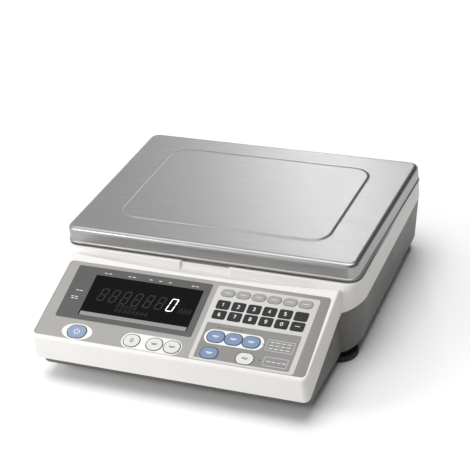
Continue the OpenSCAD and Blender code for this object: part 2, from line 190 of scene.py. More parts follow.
def smooth(obj, angle=32):
    """Smooth shading with crisp edges above an angle, flat faces kept flat."""
    obj.data.shade_smooth()
    obj.data.set_sharp_from_angle(angle=math.radians(angle))
    even = obj.modifiers.new("even", "WEIGHTED_NORMAL")
    even.keep_sharp = True
    return obj


def finish_piece(obj, name, body, stands_for=(), materials=()):
    """Names a piece, gives it its materials and its body, and hides the CAD nodes it stands for."""
    obj.name = name
    obj.data.name = name
    if materials:
        obj.data.materials.clear()
        for m in materials:
            obj.data.materials.append(m)
    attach(obj, body)
    if stands_for:
        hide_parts(*stands_for)
    return obj


# ---- materials ----

class Maker:
    """Builds one procedural material around a Principled shader."""

    def __init__(self, name, **inputs):
        self.material = bpy.data.materials.new(name)
        self.material.use_nodes = True
        self.tree = self.material.node_tree
        self.shader = self.tree.nodes["Principled BSDF"]
        for key, value in inputs.items():
            self.shader.inputs[key.replace("_", " ")].default_value = value
        self.place = self.add("ShaderNodeTexCoord").outputs["Object"]

    def add(self, kind, **values):
        node = self.tree.nodes.new(kind)
        for key, value in values.items():
            setattr(node, key, value)
        return node

    def link(self, source, target):
        self.tree.links.new(source, target)

    def stretched(self, scale):
        """Object coordinates in metres, times scale along each axis."""
        node = self.add("ShaderNodeMapping")
        node.inputs["Scale"].default_value = scale
        self.link(self.place, node.inputs["Vector"])
        return node.outputs["Vector"]

    def noise(self, scale, detail=3.0, stretch=(1, 1, 1)):
        node = self.add("ShaderNodeTexNoise")
        node.inputs["Scale"].default_value = scale
        node.inputs["Detail"].default_value = detail
        self.link(self.stretched(stretch), node.inputs["Vector"])
        return node.outputs["Fac"]

    def ramp(self, fac, low, high, start=0.3, end=0.7):
        """Maps fac from start..end to low..high, numbers or colours."""
        node = self.add("ShaderNodeMapRange")
        if not hasattr(low, "__len__"):
            for key, value in (("From Min", start), ("From Max", end), ("To Min", low), ("To Max", high)):
                node.inputs[key].default_value = value
            self.link(fac, node.inputs["Value"])
            return node.outputs["Result"]
        self.tree.nodes.remove(node)
        node = self.add("ShaderNodeValToRGB")
        for element, position, colour in zip(node.color_ramp.elements, (start, end), (low, high)):
            element.position, element.color = position, (*colour, 1)
        self.link(fac, node.inputs["Fac"])
        return node.outputs["Color"]

    def mix(self, fac, a, b):
        node = self.add("ShaderNodeMix", data_type="RGBA")
        self.link(fac, node.inputs["Factor"])
        self.link(a, node.inputs["A"])
        self.link(b, node.inputs["B"])
        return node.outputs["Result"]

    def blend(self, fac, a, b):
        """A mix of two numbers."""
        node = self.add("ShaderNodeMix", data_type="FLOAT")
        self.link(fac, node.inputs["Factor"])
        self.link(a, node.inputs["A"])
        self.link(b, node.inputs["B"])
        return node.outputs["Result"]

    def bump(self, height, distance, strength=1.0, below=None):
        node = self.add("ShaderNodeBump")
        node.inputs["Strength"].default_value = strength
        node.inputs["Distance"].default_value = distance
        self.link(height, node.inputs["Height"])
        if below is not None:
            self.link(below, node.inputs["Normal"])
        return node.outputs["Normal"]

    def set(self, socket, value):
        self.link(value, self.shader.inputs[socket])


def shade(colour, factor):
    return tuple(min(1.0, c * factor) for c in colour)


def plastic(name, colour, roughness, grain=900, depth=0.00002, mottle=0.03, coat=0.0, specular=0.5):
    """Moulded plastic: fine grain, slight mottling, a little polish variation."""
    m = Maker(name, Coat_Weight=coat, Coat_Roughness=0.15, Specular_IOR_Level=specular)
    m.set("Base Color", m.ramp(m.noise(40, 4), shade(colour, 1 - mottle), shade(colour, 1 + mottle)))
    m.set("Roughness", m.ramp(m.noise(60, 5), roughness - 0.04, roughness + 0.05))
    m.set("Normal", m.bump(m.noise(grain, 2), depth))
    return m.material


def printed(name, colour, roughness=0.4, sparkle=0.02, painted_shade=None):
    """Ink on polyester film: very fine stipple under a satin surface. Given a painted shade (share, start, end),
    the ink is darkened to that share of itself between the two x positions given, in metres, as painted shade for
    light that falls off towards the right."""
    m = Maker(name, Specular_IOR_Level=0.45)
    stipple = m.ramp(m.noise(2500, 2), shade(colour, 1 - sparkle), shade(colour, 1 + sparkle))
    # Painted shade: the ink is darkened towards the right, standing in for less light falling on that side of the
    # panel.
    if painted_shade:
        share, start, end = painted_shade
        across_x = m.add("ShaderNodeSeparateXYZ")
        m.link(m.place, across_x.inputs[0])
        painted_shade_ink = m.ramp(m.noise(2500, 2), shade(colour, share), shade(colour, share * 1.05))
        stipple = m.mix(m.ramp(across_x.outputs["X"], 0.0, 1.0, start, end), stipple, painted_shade_ink)
    m.set("Base Color", stipple)
    m.set("Roughness", m.ramp(m.noise(90, 4), roughness - 0.05, roughness + 0.05))
    m.set("Normal", m.bump(m.noise(1400, 2), 0.000008))
    return m.material


def metal(name, colour, roughness, stretch, scale=1.0, bump=0.00001, mottle=0.06):
    """Metal with directional working marks; stretch is the noise frequency along each axis."""
    m = Maker(name, Metallic=1.0)
    streaks = m.noise(scale, 6, stretch)
    m.set("Base Color", m.ramp(streaks, shade(colour, 1 - mottle), shade(colour, 1 + mottle)))
    m.set("Roughness", m.ramp(streaks, roughness - 0.06, roughness + 0.08))
    m.set("Normal", m.bump(streaks, bump))
    return m.material


def brushed_pan():
    """Stainless sheet, brushed across; on the left and right skirts the brushing runs front to back."""
    m = Maker("pan_steel", Metallic=1.0, Anisotropic=0.55)
    fine = m.noise(1.0, 8, (22, 2600, 2600))
    coarse = m.noise(1.0, 4, (30, 800, 800))
    side_fine = m.noise(1.0, 8, (2600, 14, 2600))
    facing = m.add("ShaderNodeSeparateXYZ")
    m.link(m.add("ShaderNodeNewGeometry").outputs["Normal"], facing.inputs[0])
    sideways = m.add("ShaderNodeMath", operation="ABSOLUTE")
    m.link(facing.outputs["X"], sideways.inputs[0])
    turned = m.ramp(sideways.outputs[0], 0.0, 1.0, 0.5, 0.8)
    streaks = m.blend(turned, fine, side_fine)
    light = m.ramp(streaks, (0.30, 0.299, 0.297), (0.39, 0.389, 0.387), 0.25, 0.75)
    dark = m.ramp(streaks, (0.28, 0.279, 0.277), (0.36, 0.359, 0.357), 0.25, 0.75)
    m.set("Base Color", m.mix(m.ramp(coarse, 0.0, 1.0), dark, light))
    m.set("Roughness", m.ramp(streaks, 0.27, 0.42, 0.25, 0.75))
    m.set("Normal", m.bump(streaks, 0.000012))
    tangent = m.add("ShaderNodeTangent", direction_type="UV_MAP", uv_map="brush")
    m.set("Tangent", tangent.outputs[0])
    return m.material


def lit(name, colour, strength):
    """A glowing phosphor segment, its brightness slightly uneven."""
    m = Maker(name, Emission_Strength=strength, Roughness=0.4)
    glow = m.ramp(m.noise(700, 3), shade(colour, 0.9), colour)
    m.set("Base Color", glow)
    m.set("Emission Color", glow)
    return m.material


def tinted_fluid():
    m = Maker("level_fluid", Roughness=0.05, IOR=1.45, Transmission_Weight=0.7)
    m.set("Base Color", m.ramp(m.noise(120, 2), (0.55, 0.78, 0.16), (0.68, 0.86, 0.25)))
    return m.material


def board_green():
    m = Maker("circuit_board", Roughness=0.35, Coat_Weight=0.4, Coat_Roughness=0.2)
    tracks = m.noise(1.0, 2, (900, 250, 900))
    m.set("Base Color", m.ramp(tracks, (0.01, 0.10, 0.04), (0.03, 0.22, 0.09), 0.48, 0.52))
    m.set("Normal", m.bump(tracks, 0.00002))
    return m.material


def rubber(name, colour, roughness=0.7):
    m = Maker(name)
    m.set("Base Color", m.ramp(m.noise(150, 5), shade(colour, 0.8), shade(colour, 1.3)))
    m.set("Roughness", m.ramp(m.noise(200, 4), roughness - 0.08, roughness + 0.08))
    m.set("Normal", m.bump(m.noise(1200, 3), 0.00004))
    return m.material


STEEL = brushed_pan()
COVER = plastic("cover_plastic", (0.70, 0.682, 0.66), 0.42, grain=1300, depth=0.00003, mottle=0.012)
BASE = plastic("base_plastic", (0.095, 0.091, 0.084), 0.45, grain=1100, depth=0.00004)
CAST = metal("cast_aluminium", (0.58, 0.58, 0.57), 0.5, (400, 400, 400), bump=0.00008)
CELL = metal("cell_aluminium", (0.70, 0.71, 0.73), 0.32, (1500, 20, 1500))
SCREW = metal("screw_steel", (0.42, 0.42, 0.43), 0.35, (600, 600, 40))
STUD = metal("stud_steel", (0.55, 0.55, 0.55), 0.3, (40, 40, 1600))
CUSHION = rubber("cushion_rubber", (0.05, 0.05, 0.05))
FOOT = rubber("foot_rubber", (0.016, 0.016, 0.017), 0.62)
# The silver and pale prints carry painted shade, darker towards the right from x 0.06 to 0.13 m.
SILVER = printed("overlay_silver", (0.305, 0.296, 0.284), 0.38, 0.04, painted_shade=(0.60, 0.06, 0.13))
PALE = printed("overlay_pale", (0.54, 0.525, 0.505), painted_shade=(0.88, 0.06, 0.13))
SHADE = printed("overlay_shade", (0.20, 0.195, 0.19))
WHITE = printed("overlay_white", (0.72, 0.71, 0.69))
LINE = printed("overlay_line", (0.06, 0.06, 0.065))
MARK = printed("overlay_mark", (0.62, 0.61, 0.60))
BEZEL = printed("bezel_print", (0.062, 0.061, 0.060), 0.36)
BLACK = plastic("black_plastic", (0.022, 0.022, 0.023), 0.4)
WINDOW = plastic("window_tint", (0.004, 0.004, 0.0045), 0.14, grain=300, depth=0.000004, specular=0.05)
GHOST = plastic("ghost_segment", (0.034, 0.034, 0.036), 0.5, specular=0.05)
STRIP = printed("strip_silver", (0.22, 0.22, 0.22), 0.3)
LIT = lit("lit_segment", (0.85, 0.95, 1.0), 0.95)
TUBE = plastic("display_glass", (0.03, 0.04, 0.04), 0.1, coat=0.8)
BOARD = board_green()
CABLE = rubber("cable_grey", (0.42, 0.42, 0.41), 0.45)
FLUID = tinted_fluid()
KEY_GREY = plastic("key_grey", (0.28, 0.275, 0.27), 0.4, grain=1600, depth=0.00001)
KEY_BLACK = plastic("key_black", (0.012, 0.012, 0.012), 0.4, grain=1600, depth=0.00001, specular=0.22)
KEY_BLUE = plastic("key_blue", (0.14, 0.215, 0.345), 0.4, grain=1600, depth=0.00001)
KEY_WHITE = plastic("key_white", (0.60, 0.595, 0.585), 0.4, grain=1600, depth=0.00001)
KEY_PALE = plastic("key_pale", (0.20, 0.275, 0.40), 0.4, grain=1600, depth=0.00001)


# ---- weighing pan ----

def build_pan():
    """Deep-drawn tray: rounded top edge, rolled hem, and a bead pressed into the top."""
    low, high = box_mm("pan")
    cy = (low.y + high.y) / 2
    w, d = high.x - low.x, high.y - low.y
    corner_r, sheet, edge = 11.0, 1.2, 4.6
    bead_w, bead_h, bead_r, bead_y = 220.0, 150.0, 20.0, cy + 1.8

    def outline(inset, z):
        return level(round_rect(0, cy, w - 2 * inset, d - 2 * inset, corner_r - inset, 10, 14), z)

    def bead(inset, z):
        return level(round_rect(0, bead_y, bead_w - 2 * inset, bead_h - 2 * inset, bead_r - inset, 10, 14), z)

    top, foot = high.z, low.z
    step = 0.9
    rim = top - step
    rings = []
    face = 0.95
    hem = [(0.75, 0.0), (0.3, 0.12), (0.0, 0.5), (0.0, 1.1), (0.15, 1.6), (0.55, 1.95), (face, 2.2)]
    rings += [outline(i, foot + z) for i, z in hem]
    rings += [outline(face, foot + 3.2), outline(face, rim - edge - 0.6)]
    for k in range(1, 9):
        a = math.radians(90 * k / 8)
        rings.append(outline(face + edge * (1 - math.cos(a)), rim - edge * (1 - math.sin(a))))
    groove = [(0.0, -step), (0.5, 0.02 - step), (1.0, 0.16 - step), (1.8, -step / 2),
              (2.6, -0.16), (3.1, -0.02), (3.6, 0.0)]
    rings += [bead(i, top + z) for i, z in groove]
    rings += [bead(14, top), bead(14, top - sheet)]
    rings += [bead(i, top + z - sheet) for i, z in reversed(groove)]
    rings += [outline(face + edge, rim - sheet), outline(face + sheet + 1.0, rim - sheet - 1.5),
              outline(face + sheet, rim - edge)]
    rings += [outline(face + sheet, foot + 2.6), outline(1.4, foot + 0.3)]
    n = len(rings[0])
    verts, faces = loft(rings, ends=False, around=True)
    inner = rings.index(rings[len(hem) + 2 + 8 + len(groove)])
    faces = [f for f in faces if not (f[0] // n == inner and f[2] // n == inner + 1)]
    faces.append(tuple(range(inner * n, (inner + 1) * n)))
    faces.append(tuple(reversed(range((inner + 1) * n, (inner + 2) * n))))
    obj = raw("pan", verts, faces)
    uv = obj.data.uv_layers.new(name="brush")
    for poly in obj.data.polygons:
        sideways = abs(poly.normal.x) > 0.7
        for loop in poly.loop_indices:
            co = obj.data.vertices[obj.data.loops[loop].vertex_index].co
            uv.data[loop].uv = (co.y, co.z + co.x) if sideways else (co.x, co.y + co.z)
    finish_piece(smooth(obj, 40), "weighing_pan", "pan", ["pan"], [STEEL])


# ---- cover ----

COVER_LOW, COVER_HIGH = box_mm("upper_cover")
SEAM_Z = box_mm("lower_base")[1].z - 0.6
RIM_Z = box_mm("pan")[0].z - 2.0
FRONT_Y = COVER_LOW.y
REAR_Y = COVER_HIGH.y
SHOULDER_Y = -78.0
WALL_Y = -61.0
GUTTER_Z = 77.5
HALF_W = COVER_HIGH.x
TAIL_W = HALF_W - 6.0
ARC_C = (HALF_W - 51.0, -39.0)
ARC_R = 51.0
REAR_R = 18.0
CONSOLE_X = 138.0
LIP_Z = 25.5


def body_ring(z, inset, front_y):
    """The housing's plan at one level: tapering sides, round rear corners, blended front corners."""
    r = ARC_R - inset
    end = math.degrees(math.asin(min(0.95, (ARC_C[1] - front_y) / r)))
    blend_deg = 13.0
    right = arc(ARC_C[0], ARC_C[1], r, -(end - blend_deg), 0, 16)
    corner = Vector((ARC_C[0] + r * math.cos(math.radians(end)), front_y))
    a, b = Vector(right[0]), Vector((corner.x - 11.0, front_y))
    curve = []
    for k in range(9):
        t = k / 8
        curve.append(tuple(b * (1 - t) ** 2 + corner * 2 * t * (1 - t) + a * t * t))
    rear = arc(TAIL_W - REAR_R, REAR_Y - REAR_R, REAR_R - inset, 0, 90, 10)
    half = curve[:-1] + right + rear
    return [Vector((x, y, z)) for x, y in half] + [Vector((-x, y, z)) for x, y in reversed(half)]


def front_at(z, inset):
    return SHOULDER_Y + (z - SEAM_Z) * (WALL_Y - SHOULDER_Y) / (RIM_Z - SEAM_Z) + 1.25 * inset


def housing_shell(inset, low, high, edge):
    """The housing part of the cover as a solid, with a rounded upper edge."""
    steps = [(low, inset + (0.45 if edge else 0.0)), (low + 0.5, inset), (low + 12, inset),
             (high - edge, inset)]
    for k in range(1, 6):
        a = math.radians(90 * k / 5)
        steps.append((high - edge * (1 - math.sin(a)), inset + edge * (1 - math.cos(a))))
    if not edge:
        steps = steps[:3] + [(high, inset)]
    return loft([body_ring(z, d, front_at(z, d)) for z, d in steps])


def console_ring(drop, inset, low=None, flare=0.0):
    """One ring round the console. drop is measured below the deck; low gives an absolute lower edge."""
    front_r = 6.0
    x, front, back = CONSOLE_X - 0.8 + flare, FRONT_Y, -62.5
    plan = [((-x, back), (-1, 0))]
    for cx, start in ((-x + front_r, 180), (x - front_r, 270)):
        for px, py in arc(0, 0, 1, start, start + 90, 9):
            plan.append(((cx + front_r * px, front + front_r + front_r * py), (px, py)))
    plan.append(((x, back), (1, 0)))
    side = []
    for (ax, ay), (bx, by) in ((plan[0][0], plan[1][0]), (plan[-2][0], plan[-1][0])):
        side.append([((ax + (bx - ax) * t / 8, ay + (by - ay) * t / 8), (math.copysign(1, ax), 0))
                     for t in range(1, 8)])
    plan = plan[:1] + side[0] + plan[1:-1] + side[1] + plan[-1:]
    ring = []
    for (px, py), (nx, ny) in plan:
        share = 0.55 + 0.45 * abs(ny)
        qx, qy = px - nx * inset * share, py - ny * inset * share
        ring.append(Vector((qx, qy, low(qy) if low else deck_z(qy) - drop)))
    return ring


def lip_line(y):
    """Lower edge of the cover under the console."""
    return LIP_Z + (max(min(y, SHOULDER_Y), FRONT_Y) - FRONT_Y) * (SEAM_Z - LIP_Z) / (SHOULDER_Y - FRONT_Y)


def console_shell():
    edge = 2.6
    rings = [console_ring(0, 1.6, lip_line, 1.4), console_ring(0, 0.6, lambda y: lip_line(y) + 0.4, 1.4),
             console_ring(0, 0, lambda y: lip_line(y) + 1.4, 1.2), console_ring(edge * 2.5, 0)]
    for k in range(0, 7):
        a = math.radians(90 * k / 6)
        rings.append(console_ring(edge * (1 - math.sin(a)), edge * (1 - math.cos(a))))
    return loft(rings)


def prism(outline, low, high):
    """A prism in the console's plane, from height low to height high."""
    return loft([[on_panel(x, u, low) for x, u in outline], [on_panel(x, u, high) for x, u in outline]])


def across(half, profile):
    """A profile in y and z drawn out along x."""
    return loft([[Vector((x, y, z)) for y, z in profile] for x in (-half, half)])


def ridge_y(x):
    """The ridge between deck and gutter bows forward in the middle."""
    return -76.6 + 5.2 * (x / 134.0) ** 2


def recess(x):
    """Depth of the finger recess in the front wall."""
    left, right, soft, depth = -27.0, 25.0, 2.4, 2.6
    inside = min(x - left, right - x)
    return depth * max(0.0, min(1.0, inside / soft))


def gutter_cutter(half, keep_console):
    """What is cut away for the gutter and the finger recess."""
    stations = sorted(set([-half, half] + [-half + i * half / 20 for i in range(41)]
                          + [e + s for e in (-27.0, 25.0) for s in (-2.4, -1.2, 0.0, 1.2, 2.4)]))
    rings = []
    for x in stations:
        y, back = ridge_y(x), recess(x)
        runout = max(0.0, min(1.0, (abs(x) - 104.0) / 24.0))
        low_y = (WALL_Y - 2.6) * (1 - runout) + front_at(GUTTER_Z, 0) * runout
        wall = [(low_y + back * 0.7, GUTTER_Z), (WALL_Y - 0.6 + back - 0.4 * runout, RIM_Z - 1.4),
                (WALL_Y - 0.2 + back - 0.2 * runout, RIM_Z - 0.5), (WALL_Y + 0.9 + back, RIM_Z + 0.01),
                (WALL_Y + 0.9 + back, 110)]
        if keep_console:
            profile = [(-95, GUTTER_Z)] + wall + [(-95, 110)]
        else:
            slope = [(y - 1.3, deck_z(y - 1.3) + 0.02), (y - 0.5, deck_z(y) - 0.35),
                     (y + 0.4, deck_z(y) - 0.9)]
            profile = slope + [(WALL_Y - 2.6, GUTTER_Z), (-50, GUTTER_Z), (-50, 110), (y - 1.3, 110)]
        rings.append([Vector((x, py, pz)) for py, pz in profile])
    return loft(rings)


def panel_outline(inset):
    """Outline of the printed panel, a little narrower at the rear."""
    r, taper, half = 4.0, 1.9, 135.0 - inset
    points = []
    for sx, su, start in ((1, 1, 0), (-1, 1, 90), (-1, -1, 180), (1, -1, 270)):
        x = half - r - (taper if su > 0 else 0)
        u = PANEL_L - inset - r if su > 0 else inset + r
        points += arc(sx * x, u, r, start, start + 90, 8)
    return points


OPENING = (0, 1.2 + 82.6 / 2, 248, 82.6, 3)


def build_cover():
    housing = raw("housing", *housing_shell(0, SEAM_Z, RIM_Z, 1.6))
    combine(housing, raw("front_wall", *gutter_cutter(131, True)), "DIFFERENCE")
    well = [body_ring(z, 1.2, front_at(RIM_Z, 0) + 2.0) for z in (RIM_Z - 2.2, RIM_Z + 5)]
    combine(housing, raw("well", *loft(well)), "DIFFERENCE")
    console = raw("console", *console_shell())
    combine(console, raw("gutter", *gutter_cutter(145, False)), "DIFFERENCE")
    cover = combine(housing, console, "UNION")
    wall = 2.5
    drop = wall / COS
    inner = FRONT_Y + wall
    room = [(inner, 0), (inner, deck_z(inner) - drop), (-78, deck_z(-78) - drop), (-72, GUTTER_Z - wall),
            (WALL_Y + wall, GUTTER_Z - wall), (WALL_Y + wall, 0)]
    combine(cover, raw("room_console", *across(CONSOLE_X - 0.8 - wall, room)), "DIFFERENCE")
    room_behind = raw("room_housing", *housing_shell(wall, SEAM_Z - 20, RIM_Z - wall - 2.0, 0))
    backing = [(WALL_Y - 12, 72), (WALL_Y + 7, 72), (WALL_Y + 7, RIM_Z + 2), (WALL_Y - 12, RIM_Z + 2)]
    combine(room_behind, raw("backing", *across(30, backing)), "DIFFERENCE")
    combine(cover, room_behind, "DIFFERENCE")
    combine(cover, raw("panel_recess", *prism(panel_outline(0), -0.8, 6)), "DIFFERENCE")
    combine(cover, raw("opening", *prism(round_rect(*OPENING), -9, 6)), "DIFFERENCE")
    riser = round_rect(0, -10, 48, 46, 4)
    combine(cover, raw("riser_opening", *loft([level(riser, 70), level(riser, 95)])), "DIFFERENCE")
    low, high = box_mm("level_housing")
    at = ((low.x + high.x) / 2, (low.y + high.y) / 2)
    combine(cover, raw("level_pocket", *lathe([(6.5, low.z), (6.5, 95)], at)), "DIFFERENCE")
    finish_piece(smooth(cover), "top_cover", "housing", ["upper_cover"], [COVER])


# ---- base ----

def base_ring(z, inset):
    """The housing base's plan, drawn in by inset."""
    return body_ring(z, inset, SHOULDER_Y + inset)


def build_base():
    low = box_mm("lower_base")[0]
    floor_z, top = low.z, SEAM_Z
    steps = [(floor_z, 7.6), (floor_z + 0.35, 6.6), (floor_z + 1.1, 5.9), (floor_z + 2.6, 5.5),
             (top - 1.0, 0.55), (top, 0.5)]
    base = raw("base", *loft([base_ring(z, d) for z, d in steps]))
    x, front = 134.5, low.y

    def front_ring(z, dx, dy, top_line=False):
        plan = [(-x + dx, SHOULDER_Y + 8)]
        plan += arc(-x + dx + 7, front + dy + 7, 7, 180, 270, 8)
        plan += arc(x - dx - 7, front + dy + 7, 7, 270, 360, 8)
        plan += [(x - dx, SHOULDER_Y + 8)]
        return [Vector((px, py, lip_line(py) + 1.2 if top_line else z)) for px, py in plan]

    rings = [front_ring(floor_z, 1.5, 8.5), front_ring(floor_z + 0.4, 0.7, 7.4),
             front_ring(floor_z + 1.2, 0.2, 6.4), front_ring(floor_z + 2.4, 0.0, 5.4),
             front_ring(0, 0, 1.0, True)]
    combine(base, raw("base_front", *loft(rings)), "UNION")
    wall = 2.5
    room = [base_ring(z, d) for z, d in ((floor_z + wall, 7.5), (top - 2, 3.2), (top + 9, 3.0))]
    combine(base, raw("base_room", *loft(room)), "DIFFERENCE")
    inner = [(front + 8.6, floor_z + wall), (front + wall + 1, LIP_Z), (front + wall + 1, LIP_Z + 20),
             (SHOULDER_Y + 12, top + 20),
             (SHOULDER_Y + 12, floor_z + wall)]
    combine(base, raw("front_room", *across(x - 5.8, inner)), "DIFFERENCE")
    for corner in ("front_left", "front_right", "rear_left", "rear_right"):
        a, b = box_mm("foot_stud_" + corner)
        at = ((a.x + b.x) / 2, (a.y + b.y) / 2)
        r = (b.x - a.x) / 2 + 0.05
        boss = [(9.0, floor_z + 0.2), (9.0, 39.6), (8.6, 40), (r, 40), (r, floor_z + 0.2)]
        combine(base, raw("bore", *lathe([(r, 0), (r, 60)], at)), "DIFFERENCE")
        rings = [[Vector((at[0] + q * math.cos(t), at[1] + q * math.sin(t), z))
                  for t in (2 * math.pi * i / 48 for i in range(48))] for q, z in boss]
        combine(base, raw("boss", *loft(rings, ends=False, around=True)), "UNION")
    a, b = box_mm("option_cover")
    bay = [(a.x - 0.2, a.z - 0.2), (b.x + 0.2, a.z - 0.2), (b.x + 0.2, b.z + 0.2), (a.x - 0.2, b.z + 0.2)]
    rings = [[Vector((px, py, pz)) for px, pz in bay] for py in (a.y, 190)]
    combine(base, raw("bay", *loft(rings)), "DIFFERENCE")
    a, b = box_mm("dc_jack")
    at = ((a.x + b.x) / 2, b.z - 5.5)
    hole = [[Vector((at[0] + 5.6 * math.cos(t), y, at[1] + 5.6 * math.sin(t)))
             for t in (2 * math.pi * i / 40 for i in range(40))] for y in (150, 190)]
    combine(base, raw("jack_hole", *loft(hole)), "DIFFERENCE")
    finish_piece(smooth(base), "bottom_case", "housing", ["lower_base"], [BASE])


# ---- printed panel ----

def key_nodes():
    return [n for n in nodes if n.endswith("_key") or "_key_" in n]


def key_rect(node):
    """Centre x, centre u, width and length of a key's cap."""
    x0, x1, u0, u1 = panel_rect(node, KEY_PROUD)
    return (x0 + x1) / 2, (u0 + u1) / 2, x1 - x0, u1 - u0


def key_radius(node):
    w = key_rect(node)[2]
    if node.startswith("function"):
        return 4.1
    return {True: 1.6, False: 5.8}[w < 13] if w < 15 else (6.8 if w > 18 else 6.3 if w < 16 else 5.8)


def key_outline(node, grow=0.0, count=8):
    x, u, w, l = key_rect(node)
    return round_rect(x, u, w + 2 * grow, l + 2 * grow, key_radius(node) + grow, count)


def planar(name, regions, h, thickness, materials):
    """A flat printed sheet. regions is a list of (outline, material index or None for a hole);
    later regions lie over earlier ones, and only what is inside the first is kept."""
    points, loops = [], []
    for outline, _ in regions:
        start = len(points)
        points += [Vector(p) for p in outline]
        loops.append(list(range(start, len(points))))
    out = delaunay_2d_cdt(points, [], loops, 0, 1e-5)
    verts, faces, sources = out[0], out[2], out[5]
    kept, slots = [], []
    for face, source in zip(faces, sources):
        if 0 not in source:
            continue
        top = regions[max(source)][1]
        if top is not None:
            kept.append(tuple(face))
            slots.append(top)
    mesh = bpy.data.meshes.new(name)
    mesh.from_pydata([on_panel(v.x, v.y, h) * MM for v in verts], [], kept)
    for m in materials:
        mesh.materials.append(m)
    for poly, index in zip(mesh.polygons, slots):
        poly.material_index = index
    bm = bmesh.new()
    bm.from_mesh(mesh)
    bmesh.ops.delete(bm, geom=[v for v in bm.verts if not v.link_faces], context="VERTS")
    up = Vector((0, -SIN, COS))
    for face in bm.faces:
        face.normal_update()
        if face.normal.dot(up) < 0:
            face.normal_flip()
    bm.to_mesh(mesh)
    bm.free()
    obj = bpy.data.objects.new(name, mesh)
    scene.collection.objects.link(obj)
    if thickness:
        solid = obj.modifiers.new("thickness", "SOLIDIFY")
        solid.thickness, solid.offset = thickness * MM, -1
        bpy.context.view_layer.update()
        settle(obj)
    return obj


def box_outline(x0, x1, u0, u1, r):
    return round_rect((x0 + x1) / 2, (u0 + u1) / 2, x1 - x0, u1 - u0, r, 6)


def build_overlay():
    bezel = panel_rect("display_bezel", 0.3)
    regions = [(panel_outline(PANEL_INSET), 0)]
    regions.append((box_outline(23, 123.5, 1.0, 85.6, 2.5), 1))
    regions.append((box_outline(27, 118.8, 3.5, 43.2, 1.5), 2))
    regions.append((box_outline(29.3, 87, 20.3, 36.4, 8.0), 3))
    regions.append((box_outline(-46.6, 13.4, 0.9, 18.1, 8.4), 3))
    px, pu, _, _ = key_rect("power_key")
    regions.append((ellipse(px, pu, 31, 18.2), 3))
    for x0, x1, u0, u1 in ((89.6, 115.6, 22.4, 34.6), (92.4, 115.2, 6.2, 16.0)):
        regions.append((box_outline(x0, x1, u0, u1, 1.0), 5))
        regions.append((box_outline(x0 + 0.35, x1 - 0.35, u0 + 0.35, u1 - 0.35, 0.7), 2))
    for k in range(5):
        regions.append((box_outline(38 + 5.2 * k, 42 + 5.2 * k, 38.6, 39.3, 0.3), 4))
    for x0, wide, u in ((92.4, 4.4, 31.6), (92.4, 4.4, 28.2), (92.4, 4.4, 24.8), (95.2, 4.0, 10.7)):
        for k in range(4):
            start = x0 + (wide + 1.0) * k
            regions.append((box_outline(start, start + wide - 0.4, u, u + 0.8, 0.3), 5))
    for ax, au in ((88.0, 28.5), (90.4, 11.1)):
        for shift in (0.0, -1.5):
            tip = ax + shift
            regions.append(([(tip, au), (tip - 1.3, au + 0.9), (tip - 1.3, au - 0.9)], 4))
    for key in key_nodes():
        if not key.startswith(("function", "number", "point", "clear")):
            regions.append((key_outline(key, 0.85), 4))
    for key in key_nodes():
        regions.append((key_outline(key, 0.3), None))
    regions.append((box_outline(*bezel, 2.0), None))
    obj = planar("overlay", regions, 0.0, 0.8, [SILVER, PALE, SHADE, WHITE, LINE, MARK])
    finish_piece(smooth(obj, 30), "printed_panel", "housing", ["keypad_overlay"])


def segment_digit(x, u, w, l, t, which, slant=0.19):
    """Outlines of a slanted seven-segment digit; which names its segments."""
    gap, half = 0.12 * t, l / 2
    bars = {
        "a": ((0, l), (w, l)), "g": ((0, half), (w, half)), "d": ((0, 0), (w, 0)),
        "f": ((0, half), (0, l)), "e": ((0, 0), (0, half)),
        "b": ((w, half), (w, l)), "c": ((w, 0), (w, half)),
    }
    shapes = []
    for name in which:
        (ax, au), (bx, bu) = bars[name]
        a, b = Vector((ax, au)), Vector((bx, bu))
        way = (b - a).normalized()
        side = Vector((-way.y, way.x)) * t / 2
        a, b = a + way * (gap + t * 0.1), b - way * (gap + t * 0.1)
        cap = way * t / 2
        points = [a, a + cap - side, b - cap - side, b, b - cap + side, a + cap + side]
        shapes.append([(x + p.x + (p.y - half) * slant, u + p.y) for p in points])
    return shapes


